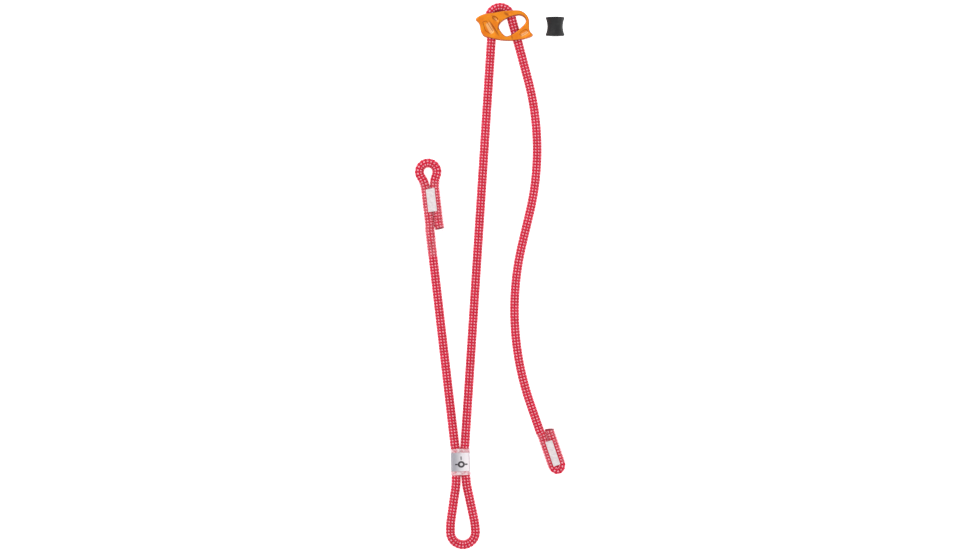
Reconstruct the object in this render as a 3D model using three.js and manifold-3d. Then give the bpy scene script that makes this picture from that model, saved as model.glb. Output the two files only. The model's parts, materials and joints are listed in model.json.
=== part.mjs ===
// Two-armed rope positioning lanyard with a rope grab, laid out flat.
// Millimetres, +Z up. The floor is z = 0, the origin is under the middle of the sewn block,
// +Y runs from the rope loop towards the rope grab, +X is to the right.
// Every length of rope is a braided sheath around a core. The rope is one piece on the real object
// and is divided here where it bends, so that each length can ride on its own body.

import * as THREE from 'three';
import { mergeVertices } from 'three/addons/utils/BufferGeometryUtils.js';
import Module from 'manifold-3d';

const wasm = await Module();
wasm.setup();

// ---- driving dimensions -------------------------------------------------------------------------

const gap = 0.3;                     // air between neighbouring pieces
const ropeRadius = 5.4;
const sheathThickness = 1.6;
const coreRadius = ropeRadius - sheathThickness - gap;
const ropeSides = 12;
const ropeHeight = 6.3;              // height of the rope's axis above the floor
const strandSpacing = 11.7;          // between the axes of two strands sewn side by side
const halfSpacing = strandSpacing / 2;

const labelClearance = 0.1;
const labelThickness = 0.25;
const sleeveClearance = 0.1;
const sleeveThickness = 0.45;
const stitchThickness = 0.4;
const stitchHeight = 7;
const capThickness = 1.2;

const blockLean = -2;                // headings are degrees clockwise from +Y, seen from above
const blockSleeveLength = 30.6;
const blockLabelLength = 21.5;
const blockStitchLength = 27;

const loopRadius = 14.65;            // bends are measured on the rope's axis
const loopSpread = 10;
const loopSpreadRadius = 60;
const loopShoulderRadius = 90;
const loopStart = 4;                 // straight rope between the sleeve and the first bend
const loopPivotDistance = 33;        // along the rope from the middle of the block
const loopFoldLimit = 95;

const armPivotDistance = 31;         // along the rope from the middle of the block
const armBendRadius = 60;
const fixedArmLean = -6.6;
const fixedArmLimit = 60;
const eyeCentreDistance = 341;       // along the fixed arm from the middle of the block
const eyeRadius = 10.3;
const eyePinch = 25;
const eyeNeckRadius = 20;
const eyeShortLeg = 68.5;            // this and the next lengths run back from the eye's centre
const eyeSleeveStart = 12.5;
const eyeSleeveEnd = 98;
const eyeSleeveLooseness = 1.1;
const eyeLabelStart = 20;
const eyeLabelLength = 27;
const eyeLabelWidth = 10.4;
const eyeStitchStart = 19;
const eyeStitchEnd = 62;
const eyePivotDistance = 128;
const eyeFoldLimit = 95;

const adjustableArmLean = 3.72;
const adjustableArmLimit = 45;
const adjustableArmLength = 503;     // from the middle of the block to the first bend in the grab
const grabRampLength = 36;           // the rope climbs from the floor into the grab
const grabRampEnd = 14;
const grabHeight = 8.8;              // height of the rope's axis inside the grab
const bightRadius = 12.8;
const bightEntryRadius = 25;
const bightEntryBend = 27;

const braidPitch = 24.8 / 7;         // along the rope, from one pale fleck to the next
const slideOut = 7 * braidPitch;     // travel of the grab away from the block
const slideIn = 28 * braidPitch;     // travel of the grab towards the block

const tailLean = 15;
const tailStraight = 77.5;
const tailNeckLength = 40;
const tailUpperRadius = 317;
const tailUpperBend = 28.4;
const tailMiddle = 37.7;
const tailPivotDistance = 21;        // along the middle stretch
const tailLowerRadius = 334;
const tailLowerBend = 32.5;
const tailLead = 35;
const tailSwingLimit = 45;
const stopperLength = 43;            // from the cut end to the middle of the fold
const stopperLabelWidth = 8.4;
const stopperLabelLength = 30;
const stopperLabelCentre = 28.5;     // this and the next lengths run from the cut end
const stopperSleeveStart = 1.5;
const stopperSleeveEnd = 42;
const stopperStitchStart = 5;
const stopperStitchEnd = 40;

const keeperLength = 22;
const keeperLipRadius = 10.9;
const keeperWaistRadius = 9;
const keeperBore = 6;
const keeperLip = 3.4;
const keeperEase = 1;
const keeperFloorClearance = 0.05;
const keeperPlace = new THREE.Vector2(110.6, 509);

const cheekThickness = 3;
const grabThickness = 2 * grabHeight;
const grabBevel = 1.1;
const grabCurveSteps = 9;
const rimEase = 0.7;
const postClearance = 0.4;           // between the post and the rope that turns around it
const postRadius = bightRadius - ropeRadius - postClearance;
const webRadius = 2.2;
const pocketDepth = 0.8;
const grabReach = 60;                // from the post to well outside the grab on every side
const cutMargin = 1;                 // how far a cutting solid stands out of what it cuts

// ---- materials ----------------------------------------------------------------------------------

function material(color, roughness, metalness = 0) {
  return new THREE.MeshStandardMaterial({ color, roughness, metalness });
}

const finishes = {
  sheath: [0xc62f4b, 0.8],
  core: [0xf1ece2, 0.85],
  sleeve: [0xe9e4e2, 0.3],
  label: [0xe9e6e6, 0.6],
  stitching: [0xe8e2dd, 0.7],
  cap: [0x8c1d30, 0.35],
  grab: [0xe8861c, 0.38, 0.7],
  keeper: [0x26262a, 0.75],
};

const assembly = new THREE.Group();

function addPart(name, geometry, finish) {
  const mesh = new THREE.Mesh(geometry, material(...finishes[finish]));
  mesh.name = name;
  assembly.add(mesh);
  return mesh;
}

// ---- joining and cutting ------------------------------------------------------------------------

function toSolid(geometry) {
  const bare = geometry.clone();
  bare.deleteAttribute('normal');
  bare.deleteAttribute('uv');
  const merged = mergeVertices(bare, 1e-4);
  return new wasm.Manifold(new wasm.Mesh({
    numProp: 3,
    vertProperties: new Float32Array(merged.attributes.position.array),
    triVerts: new Uint32Array(merged.index.array),
  }));
}

function toGeometry(solid) {
  const mesh = solid.getMesh();
  const geometry = new THREE.BufferGeometry();
  geometry.setAttribute('position', new THREE.BufferAttribute(mesh.vertProperties, 3));
  geometry.setIndex(new THREE.BufferAttribute(mesh.triVerts, 1));
  geometry.computeVertexNormals();
  return geometry;
}

// ---- rope paths ---------------------------------------------------------------------------------

function radians(degrees) {
  return THREE.MathUtils.degToRad(degrees);
}

function direction(heading) {
  return new THREE.Vector2(Math.sin(radians(heading)), Math.cos(radians(heading)));
}

// A rope path is a list of moves. Each goes ahead by a length, turns right by an angle spread along
// that length, and climbs by a rise. A name marks the place where its move starts.
class RopePath {
  constructor(start, heading, height, moves) {
    this.moves = [];
    this.marks = {};
    this.length = 0;
    let place = start;
    for (const { name, length, turn = 0, rise = 0 } of moves) {
      const move = { from: this.length, length, turn, rise, place, heading, height };
      this.moves.push(move);
      if (name) this.marks[name] = this.length;
      const end = this.along(move, length);
      this.length += length;
      place = new THREE.Vector2(end.x, end.y);
      heading += turn;
      height += rise;
    }
  }

  // The point a given distance into one move.
  along(move, distance) {
    const share = move.length > 0 ? distance / move.length : 0;
    const halfTurn = radians(move.turn * share) / 2;
    const chord = halfTurn === 0 ? distance : distance * Math.sin(halfTurn) / halfTurn;
    const step = direction(move.heading + move.turn * share / 2).multiplyScalar(chord);
    const climb = move.rise * THREE.MathUtils.smoothstep(share, 0, 1);
    return new THREE.Vector3(move.place.x + step.x, move.place.y + step.y, move.height + climb);
  }

  moveAt(distance) {
    const reached = this.moves.filter((move) => move.from <= distance + 1e-9);
    return reached[reached.length - 1];
  }

  point(distance) {
    const move = this.moveAt(distance);
    return this.along(move, distance - move.from);
  }

  heading(distance) {
    const move = this.moveAt(distance);
    return move.heading + move.turn * (distance - move.from) / move.length;
  }
}

// Distances along a path at which a length of rope needs a ring: more of them where it bends.
function ringDistances(path, from, to) {
  const degreesPerRing = 20;
  const ringsPerClimb = 5;
  const distances = [from];
  for (const move of path.moves) {
    const start = Math.max(from, move.from);
    const end = Math.min(to, move.from + move.length);
    if (end - start < 0.01) continue;
    const turned = Math.abs(move.turn) * (end - start) / move.length;
    const climbing = move.rise === 0 ? 1 : ringsPerClimb;
    const count = Math.max(1, climbing, Math.ceil(turned / degreesPerRing));
    for (let i = 1; i <= count; i++) distances.push(start + (end - start) * i / count);
  }
  return distances;
}

// The stretch of a rope path between two distances, as a three.js curve that steps from ring to ring.
class RopeStretch extends THREE.Curve {
  constructor(path, from, to) {
    super();
    this.path = path;
    this.distances = ringDistances(path, from, to);
    this.steps = this.distances.length - 1;
  }

  getPoint(t, target = new THREE.Vector3()) {
    const position = Math.min(Math.max(t, 0), 1) * this.steps;
    const ring = Math.min(Math.floor(position), this.steps - 1);
    const a = this.distances[ring];
    const b = this.distances[ring + 1];
    return target.copy(this.path.point(a + (b - a) * (position - ring)));
  }

  getPointAt(u, target) {
    return this.getPoint(u, target);
  }

  getTangentAt(u, target) {
    return this.getTangent(u, target);
  }
}

function circle(radius, sides) {
  const points = [];
  for (let i = 0; i < sides; i++) {
    const angle = 2 * Math.PI * i / sides;
    points.push(new THREE.Vector2(radius * Math.cos(angle), radius * Math.sin(angle)));
  }
  return new THREE.Shape(points);
}

// One length of rope: a hollow sheath and the core inside it.
function addRope(name, path, from, to) {
  const stretch = new RopeStretch(path, from, to);
  const options = { steps: stretch.steps, extrudePath: stretch, bevelEnabled: false };
  const sheath = circle(ropeRadius, ropeSides);
  sheath.holes.push(circle(ropeRadius - sheathThickness, ropeSides));
  addPart(`${name}_sheath`, new THREE.ExtrudeGeometry(sheath, options), 'sheath');
  addPart(`${name}_core`, new THREE.ExtrudeGeometry(circle(coreRadius, ropeSides), options), 'core');
}

// Half of the gap that lets two blunt rope ends turn by an angle without touching.
function hingeGap(degrees) {
  return ropeRadius * Math.tan(radians(degrees) / 2) + gap;
}

// ---- sleeves, labels and stitching on two strands sewn side by side -----------------------------

// Parts of a sewn pair are drawn with x across the strands and y along them.
function placeOnPair(mesh, centre, heading) {
  mesh.position.set(centre.x, centre.y, 0);
  mesh.rotation.z = -radians(heading);
}

function stadium(halfStraight, radius) {
  const shape = new THREE.Shape();
  shape.moveTo(-halfStraight, -radius);
  shape.lineTo(halfStraight, -radius);
  shape.absarc(halfStraight, 0, radius, -Math.PI / 2, Math.PI / 2, false);
  shape.lineTo(-halfStraight, radius);
  shape.absarc(-halfStraight, 0, radius, Math.PI / 2, 3 * Math.PI / 2, false);
  return shape;
}

// A tube of stadium section around a sewn pair, lying along y and centred on the rope's height.
function pairTube(innerRadius, thickness, length, extraWidth = 0) {
  const halfStraight = halfSpacing + extraWidth;
  const shape = stadium(halfStraight, innerRadius + thickness);
  shape.holes.push(stadium(halfStraight, innerRadius));
  const options = { depth: length, bevelEnabled: false, curveSegments: 10 };
  const geometry = new THREE.ExtrudeGeometry(shape, options);
  geometry.translate(0, 0, -length / 2);
  geometry.rotateX(-Math.PI / 2);
  geometry.translate(0, 0, ropeHeight);
  return geometry;
}

function slab(width, length, bottom, top) {
  const geometry = new THREE.BoxGeometry(width, length, top - bottom);
  geometry.translate(0, 0, (top + bottom) / 2);
  return geometry;
}

function addStitching(name, centre, heading, length) {
  const web = slab(stitchThickness, length, ropeHeight - stitchHeight / 2, ropeHeight + stitchHeight / 2);
  placeOnPair(addPart(name, web, 'stitching'), centre, heading);
}

// A flat label that lies on the crowns of the two strands.
function addFlatLabel(name, centre, heading, width, length) {
  const bottom = ropeHeight + ropeRadius + labelClearance;
  placeOnPair(addPart(name, slab(width, length, bottom, bottom + labelThickness), 'label'), centre, heading);
}

const labelRadius = ropeRadius + labelClearance;
const sleeveRadius = labelRadius + labelThickness + sleeveClearance;

function addSleeve(name, centre, heading, length, extraWidth = 0) {
  const tube = pairTube(sleeveRadius, sleeveThickness, length, extraWidth);
  placeOnPair(addPart(name, tube, 'sleeve'), centre, heading);
}

// The melted end of a cut rope, centred a given distance along it.
function addEndCap(name, path, distance) {
  const radius = ropeRadius - gap;
  const mesh = addPart(name, new THREE.CylinderGeometry(radius, radius, capThickness, ropeSides), 'cap');
  mesh.position.copy(path.point(distance));
  mesh.rotation.z = -radians(path.heading(distance));
}

// ---- the course of the rope ---------------------------------------------------------------------

function bend(radius, degrees, rise = 0) {
  return { length: radius * radians(Math.abs(degrees)), turn: degrees, rise };
}

// How far a bend moves the rope sideways, and how far ahead.
function bendAside(radius, degrees) {
  return radius * (1 - Math.cos(radians(degrees)));
}

function bendAhead(radius, degrees) {
  return radius * Math.sin(radians(degrees));
}

const blockAxis = direction(blockLean);
const blockAcross = direction(blockLean + 90);
const blockHalf = blockSleeveLength / 2;

function onBlock(across, along) {
  return new THREE.Vector2().addScaledVector(blockAcross, across).addScaledVector(blockAxis, along);
}

const eyeAside = bendAside(eyeRadius, eyePinch) + bendAside(eyeNeckRadius, eyePinch);
const eyeSlope = (eyeRadius - halfSpacing - eyeAside) / Math.sin(radians(eyePinch));
const eyeNeckDepth = bendAhead(eyeRadius, eyePinch) + bendAhead(eyeNeckRadius, eyePinch)
  + eyeSlope * Math.cos(radians(eyePinch));

// From the cut end beside the fixed arm, around the eye and back along the arm.
const fixedArmBend = bend(armBendRadius, blockLean - fixedArmLean);
const eyeAndFixedArm = [
  { length: eyeShortLeg - eyeNeckDepth },
  bend(eyeNeckRadius, eyePinch),
  { length: eyeSlope },
  bend(eyeRadius, -180 - 2 * eyePinch),
  { length: eyeSlope },
  bend(eyeNeckRadius, eyePinch),
  { name: 'fixedArm', length: eyeCentreDistance - eyeNeckDepth - blockHalf - fixedArmBend.length },
  fixedArmBend,
];

const loopLegAside = loopRadius - halfSpacing
  - bendAside(loopSpreadRadius, loopSpread) - bendAside(loopShoulderRadius, loopSpread);
const loopLeg = loopLegAside / Math.sin(radians(loopSpread));

// Down the block's left strand, around the loop and up the right strand.
const blockAndLoop = [
  { name: 'leftStrand', length: blockSleeveLength + loopStart },
  bend(loopSpreadRadius, loopSpread),
  { length: loopLeg },
  bend(loopShoulderRadius, -loopSpread),
  bend(loopRadius, -180),
  bend(loopShoulderRadius, -loopSpread),
  { length: loopLeg },
  bend(loopSpreadRadius, loopSpread),
  { name: 'rightStrand', length: loopStart + blockSleeveLength },
];

// Along the adjustable arm, up into the rope grab and around its post.
const adjustableArmBend = bend(armBendRadius, adjustableArmLean - blockLean);
const adjustableArmStraight = adjustableArmLength - blockHalf - adjustableArmBend.length
  - grabRampLength - grabRampEnd;
const adjustableArmAndBight = [
  adjustableArmBend,
  { length: adjustableArmStraight },
  { name: 'ramp', length: grabRampLength, rise: grabHeight - ropeHeight },
  { length: grabRampEnd },
  bend(bightEntryRadius, -bightEntryBend),
  { name: 'bight', ...bend(bightRadius, 180 - tailLean - adjustableArmLean + bightEntryBend) },
];

// Down the tail to its end, which is folded back and sewn.
const tailAndStopper = [
  { name: 'tail', length: tailStraight },
  bend(tailUpperRadius, tailUpperBend, ropeHeight - grabHeight),
  { name: 'tailMiddle', length: tailMiddle },
  bend(tailLowerRadius, -tailLowerBend),
  { length: tailLead },
  { name: 'stopper', length: stopperLength },
  bend(halfSpacing, -180),
  { length: stopperLength },
];

// The whole rope, placed so that its left strand passes through the block where it should.
function layRope() {
  const moves = [...eyeAndFixedArm, ...blockAndLoop, ...adjustableArmAndBight, ...tailAndStopper];
  const unplaced = new RopePath(new THREE.Vector2(), fixedArmLean, ropeHeight, moves);
  const passing = unplaced.point(unplaced.marks.leftStrand + blockHalf);
  const start = onBlock(-halfSpacing, 0).sub(passing);
  return new RopePath(start, fixedArmLean, ropeHeight, moves);
}

const rope = layRope();
const { marks } = rope;
const leftMiddle = marks.leftStrand + blockHalf;
const rightMiddle = marks.rightStrand + loopStart + blockHalf;

// ---- where the rope bends or slides, as distances along it --------------------------------------

const pivots = {
  eye: marks.fixedArm - eyeNeckDepth + eyePivotDistance,
  fixedArm: leftMiddle - armPivotDistance,
  loopLeft: leftMiddle + loopPivotDistance,
  loopRight: rightMiddle - loopPivotDistance,
  adjustableArm: rightMiddle + armPivotDistance,
  tail: marks.tailMiddle + tailPivotDistance,
};

function addRopeLengths() {
  const eyeGap = hingeGap(eyeFoldLimit);
  const fixedArmGap = hingeGap(fixedArmLimit);
  const adjustableArmGap = hingeGap(adjustableArmLimit);
  const loopGap = hingeGap(loopFoldLimit);
  const tailGap = hingeGap(tailSwingLimit);
  const feedStart = marks.ramp - slideIn - gap;
  const neckEnd = marks.tail + tailNeckLength;
  const linkEnd = neckEnd + gap + slideOut;
  addRope('eye', rope, capThickness + gap, pivots.eye - eyeGap);
  addRope('fixed_arm', rope, pivots.eye + eyeGap, pivots.fixedArm - fixedArmGap);
  addRope('block_left_strand', rope, pivots.fixedArm + fixedArmGap, pivots.loopLeft - loopGap);
  addRope('loop', rope, pivots.loopLeft + loopGap, pivots.loopRight - loopGap);
  addRope('block_right_strand', rope, pivots.loopRight + loopGap,
    pivots.adjustableArm - adjustableArmGap);
  addRope('adjustable_arm', rope, pivots.adjustableArm + adjustableArmGap, feedStart - gap);
  addRope('arm_feed', rope, feedStart, marks.ramp - gap);
  addRope('bight', rope, marks.ramp, neckEnd);
  addRope('tail_feed', rope, neckEnd + gap, linkEnd);
  addRope('tail_upper', rope, linkEnd + gap, pivots.tail - tailGap);
  addRope('tail_lower', rope, pivots.tail + tailGap, marks.stopper - gap);
  addRope('stopper', rope, marks.stopper, rope.length - capThickness - gap);
  addEndCap('eye_end_cap', rope, capThickness / 2);
  addEndCap('stopper_end_cap', rope, rope.length - capThickness / 2);
}

// ---- the three sewn pairs -----------------------------------------------------------------------

function addBlock() {
  const middle = onBlock(0, 0);
  addStitching('block_stitching', middle, blockLean, blockStitchLength);
  const label = pairTube(labelRadius, labelThickness, blockLabelLength);
  placeOnPair(addPart('block_label', label, 'label'), middle, blockLean);
  addSleeve('block_sleeve', middle, blockLean, blockSleeveLength);
}

// The place on a sewn pair's middle line, beside the strand that is a given distance along the rope.
// The other strand is always on the left of that one.
function besideRope(distance, ahead) {
  const point = rope.point(distance);
  const heading = rope.heading(distance);
  return new THREE.Vector2(point.x, point.y)
    .addScaledVector(direction(heading - 90), halfSpacing)
    .addScaledVector(direction(heading), ahead);
}

function addEye() {
  const heading = rope.heading(0);
  const back = (from, to) => besideRope(0, eyeShortLeg - (from + to) / 2);
  addStitching('eye_stitching', back(eyeStitchStart, eyeStitchEnd), heading, eyeStitchEnd - eyeStitchStart);
  const labelPlace = back(eyeLabelStart, eyeLabelStart + eyeLabelLength);
  addFlatLabel('eye_label', labelPlace, heading, eyeLabelWidth, eyeLabelLength);
  const sleevePlace = back(eyeSleeveStart, eyeSleeveEnd);
  addSleeve('eye_sleeve', sleevePlace, heading, eyeSleeveEnd - eyeSleeveStart, eyeSleeveLooseness);
}

function addStopper() {
  const heading = rope.heading(marks.stopper);
  const ahead = (from, to) => besideRope(marks.stopper, (from + to) / 2);
  const stitchPlace = ahead(stopperStitchStart, stopperStitchEnd);
  addStitching('stopper_stitching', stitchPlace, heading, stopperStitchEnd - stopperStitchStart);
  const labelPlace = besideRope(marks.stopper, stopperLabelCentre);
  addFlatLabel('stopper_label', labelPlace, heading, stopperLabelWidth, stopperLabelLength);
  const sleevePlace = ahead(stopperSleeveStart, stopperSleeveEnd);
  addSleeve('stopper_sleeve', sleevePlace, heading, stopperSleeveEnd - stopperSleeveStart);
}

// ---- the rope grab ------------------------------------------------------------------------------

// The centre of the bight, which is the axis of the post that the rope turns around.
const post = new THREE.Vector2(rope.point(marks.bight).x, rope.point(marks.bight).y)
  .addScaledVector(direction(rope.heading(marks.bight) + 90), bightRadius);

// All shapes of the grab are drawn from above, with the post's axis at 0, 0.
function grabOutline() {
  const shape = new THREE.Shape();
  shape.moveTo(-28.2, -0.6);
  shape.bezierCurveTo(-24.3, 4.2, -14, 6.2, -1.7, 9.1);
  shape.bezierCurveTo(5, 10.6, 15, 10.4, 24, 8.8);
  shape.bezierCurveTo(30.5, 7.3, 35.2, 2.2, 35.5, -4);
  shape.lineTo(35.6, -12.5);
  shape.bezierCurveTo(35.7, -15.5, 38, -17.6, 39.2, -18.6);
  shape.bezierCurveTo(40.6, -19.9, 40, -21, 38.4, -21.9);
  shape.bezierCurveTo(33, -24.9, 24, -26.6, 13, -27);
  shape.bezierCurveTo(2, -27.4, -9, -25.2, -17.8, -21.8);
  shape.bezierCurveTo(-22.6, -19.3, -23.2, -14, -23.8, -9.5);
  shape.bezierCurveTo(-24.3, -6.4, -26, -4.8, -27.8, -3.4);
  shape.bezierCurveTo(-29, -2.3, -29, -1.6, -28.2, -0.6);
  return shape;
}

// The hole that takes the connector.
function connectorHole() {
  const hole = new THREE.Shape();
  hole.moveTo(-1.6, -10.5);
  hole.bezierCurveTo(-1.4, -4.5, 8.5, 1.8, 21.5, 3.5);
  hole.bezierCurveTo(26.5, 4.2, 31.7, 1.2, 31.8, -3.6);
  hole.bezierCurveTo(31.8, -8.8, 13.5, -20.8, 7.6, -21.6);
  hole.bezierCurveTo(5, -21.9, -1.2, -14.5, -1.6, -10.5);
  return hole;
}

function prism(shape, bottom, top) {
  const options = { depth: top - bottom, bevelEnabled: false, curveSegments: grabCurveSteps };
  const geometry = new THREE.ExtrudeGeometry(shape, options);
  geometry.translate(0, 0, bottom);
  return toSolid(geometry);
}

function polygon(corners) {
  return new THREE.Shape(corners.map(([x, y]) => new THREE.Vector2(x, y)));
}

// A bar with round ends, from one point to another.
function roundBar(from, to, radius) {
  const a = new THREE.Vector2(...from);
  const b = new THREE.Vector2(...to);
  const angle = b.clone().sub(a).angle();
  const shape = new THREE.Shape();
  shape.absarc(b.x, b.y, radius, angle - Math.PI / 2, angle + Math.PI / 2, false);
  shape.absarc(a.x, a.y, radius, angle + Math.PI / 2, angle + 3 * Math.PI / 2, false);
  return shape;
}

// A shape swollen by a bevel towards the middle of its height.
function bevelledPrism(shape, bottom, top, bevel, offset) {
  const geometry = new THREE.ExtrudeGeometry(shape, {
    depth: top - bottom - 2 * bevel,
    bevelEnabled: true,
    bevelSize: bevel,
    bevelThickness: bevel,
    bevelOffset: offset,
    bevelSegments: 2,
    curveSegments: grabCurveSteps,
  });
  geometry.translate(0, 0, bottom + bevel);
  return toSolid(geometry);
}

// Takes the connector's hole out of a solid, with its rim eased on both faces.
function cutConnectorHole(solid) {
  const hole = connectorHole();
  const ease = (height) => bevelledPrism(hole, height - rimEase, height + rimEase, rimEase, 0);
  return solid
    .subtract(prism(hole, -cutMargin, grabThickness + cutMargin))
    .subtract(ease(0))
    .subtract(ease(grabThickness));
}

// The walls that join the cheeks: one behind the arm's strand, the post and the web below it, and
// one at the connector's end.
function grabWalls() {
  const bottom = cheekThickness;
  const top = grabThickness - cheekThickness;
  const behindArm = polygon([[-30, 0], [-20, 0], [-19.3, -4], [-19.3, -16], [-20.6, -24], [-30, -24]]);
  const postShape = new THREE.Shape();
  postShape.absarc(0, 0, postRadius, 0, 2 * Math.PI, false);
  const web = roundBar([-0.6, -1], [-1.2, -11.5], webRadius);
  const connectorEnd = polygon([[31.6, -6], [45, -6], [45, -30], [30.4, -30], [30.4, -16]]);
  const walls = [behindArm, postShape, web, connectorEnd].map((shape) => prism(shape, bottom, top));
  return walls.reduce((joined, wall) => joined.add(wall));
}

function grabRecesses() {
  const floor = grabThickness - pocketDepth;
  const above = grabThickness + cutMargin;
  const lozenge = polygon([[-20.6, -4.6], [-16.2, -3.4], [-8.4, -15.6], [-11.6, -18.6], [-17.4, -15]]);
  const dimple = roundBar([-7.4, 0.6], [-4.4, -1.6], 1.7);
  const endPocket = roundBar([26, -18.6], [31.6, -15.4], 2);
  return [lozenge, dimple, endPocket].map((shape) => prism(shape, floor, above));
}

function addGrab() {
  const corners = [[-1, -1], [1, -1], [1, 1], [-1, 1]];
  const around = polygon(corners.map(([x, y]) => [x * grabReach, y * grabReach]));
  const slot = prism(around, cheekThickness, grabThickness - cheekThickness);
  const blank = bevelledPrism(grabOutline(), 0, grabThickness, grabBevel, -grabBevel);
  let frame = cutConnectorHole(blank.subtract(slot.subtract(grabWalls())));
  for (const recess of grabRecesses()) frame = frame.subtract(recess);
  addPart('grab_frame', toGeometry(frame), 'grab').position.set(post.x, post.y, 0);
}

// ---- the rubber keeper --------------------------------------------------------------------------

// A sleeve with a swollen lip at each end, lying on its side.
function addKeeper() {
  const half = keeperLength / 2;
  const profile = new THREE.Path();
  const lipTop = half - keeperLip + keeperEase;
  const lipFoot = half - keeperLip - keeperEase;
  profile.moveTo(keeperBore, -half);
  profile.lineTo(keeperLipRadius - keeperEase, -half);
  profile.quadraticCurveTo(keeperLipRadius, -half, keeperLipRadius, -half + keeperEase);
  profile.lineTo(keeperLipRadius, -lipTop);
  profile.bezierCurveTo(keeperLipRadius, -lipFoot, keeperWaistRadius, -lipFoot, keeperWaistRadius, 0);
  profile.bezierCurveTo(keeperWaistRadius, lipFoot, keeperLipRadius, lipFoot, keeperLipRadius, lipTop);
  profile.lineTo(keeperLipRadius, half - keeperEase);
  profile.quadraticCurveTo(keeperLipRadius, half, keeperLipRadius - keeperEase, half);
  profile.lineTo(keeperBore, half);
  profile.lineTo(keeperBore, -half);
  const mesh = addPart('keeper', new THREE.LatheGeometry(profile.getPoints(4), 28), 'keeper');
  mesh.position.set(keeperPlace.x, keeperPlace.y, keeperLipRadius + keeperFloorClearance);
}

addBlock();
addRopeLengths();
addEye();
addStopper();
addGrab();
addKeeper();

// The places of the joints, for whoever drives the model.
assembly.userData.joints = {
  loopFold: onBlock(0, -loopPivotDistance).toArray(),
  fixedArm: rope.point(pivots.fixedArm).toArray(),
  eye: rope.point(pivots.eye).toArray(),
  adjustableArm: rope.point(pivots.adjustableArm).toArray(),
  post: post.toArray(),
  tail: rope.point(pivots.tail).toArray(),
  slideHeading: rope.heading(marks.ramp),
  tailHeading: rope.heading(marks.tail),
};

export default assembly;
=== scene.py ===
"""The visual model of a two-armed rope positioning lanyard with a rope grab, built around its CAD frame.

Everything is in metres in the frame's own axes: +Z up off the floor, +Y towards the grab, +X to the right.
The rope's course is read back from the CAD cores, and everything sewn onto the rope is placed by it.
"""

import json
import math

import bmesh
import bpy
import numpy as np
from mathutils import Matrix, Vector

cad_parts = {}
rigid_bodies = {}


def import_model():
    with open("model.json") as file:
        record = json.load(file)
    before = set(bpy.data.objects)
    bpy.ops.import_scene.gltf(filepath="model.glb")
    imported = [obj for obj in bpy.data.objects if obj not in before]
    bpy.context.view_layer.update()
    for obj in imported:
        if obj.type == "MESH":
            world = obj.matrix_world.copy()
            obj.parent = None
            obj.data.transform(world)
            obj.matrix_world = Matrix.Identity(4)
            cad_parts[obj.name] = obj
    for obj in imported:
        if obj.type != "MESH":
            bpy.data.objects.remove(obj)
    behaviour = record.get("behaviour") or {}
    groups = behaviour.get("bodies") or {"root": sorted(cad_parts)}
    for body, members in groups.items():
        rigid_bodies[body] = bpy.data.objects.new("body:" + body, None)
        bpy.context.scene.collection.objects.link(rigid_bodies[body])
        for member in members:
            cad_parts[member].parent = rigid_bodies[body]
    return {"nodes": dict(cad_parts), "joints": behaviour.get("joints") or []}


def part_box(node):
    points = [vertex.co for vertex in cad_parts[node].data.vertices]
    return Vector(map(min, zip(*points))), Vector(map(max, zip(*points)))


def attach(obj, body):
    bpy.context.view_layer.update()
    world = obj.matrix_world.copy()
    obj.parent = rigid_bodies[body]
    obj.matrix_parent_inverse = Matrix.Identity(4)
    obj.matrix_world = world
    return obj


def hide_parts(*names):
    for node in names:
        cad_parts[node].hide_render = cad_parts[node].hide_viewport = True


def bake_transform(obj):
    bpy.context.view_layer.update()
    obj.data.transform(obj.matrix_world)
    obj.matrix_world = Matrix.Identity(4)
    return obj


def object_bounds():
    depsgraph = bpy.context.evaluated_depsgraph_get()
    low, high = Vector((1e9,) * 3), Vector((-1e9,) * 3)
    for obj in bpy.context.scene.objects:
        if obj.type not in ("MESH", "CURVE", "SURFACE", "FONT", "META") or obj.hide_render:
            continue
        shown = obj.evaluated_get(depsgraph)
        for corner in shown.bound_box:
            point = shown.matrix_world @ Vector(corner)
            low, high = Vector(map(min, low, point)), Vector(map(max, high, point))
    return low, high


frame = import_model()
cad_low, cad_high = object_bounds()

MM = 0.001
JOINTS = {joint["name"]: joint for joint in frame["joints"]}
SLIDE_OUT = abs(JOINTS["grab_slide"]["range_m"][0])


def smoothstep(x, low, high):
    t = np.clip((x - low) / (high - low), 0, 1)
    return t * t * (3 - 2 * t)


def box_middle(node):
    """The middle of a CAD node's box."""
    low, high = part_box(node)
    return (Vector(low) + Vector(high)) / 2


# ---- the course of the rope, from the CAD cores

ROPE_LENGTHS = (
    "eye", "fixed_arm", "block_left_strand", "loop", "block_right_strand", "adjustable_arm",
    "arm_feed", "bight", "tail_feed", "tail_upper", "tail_lower", "stopper",
)
LINE_STEP = 0.4 * MM
SAME_PLACE = 1e-6  # metres


def welded(node):
    """A CAD node's vertices with doubles joined, and its triangles."""
    mesh = frame["nodes"][node].data
    co = np.array([v.co for v in mesh.vertices])
    _, first, inverse = np.unique(np.round(co / SAME_PLACE).astype(int), axis=0,
                                  return_index=True, return_inverse=True)
    mesh.calc_loop_triangles()
    triangles = np.array([t.vertices[:] for t in mesh.loop_triangles])
    return co[first], inverse.ravel()[triangles]


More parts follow.
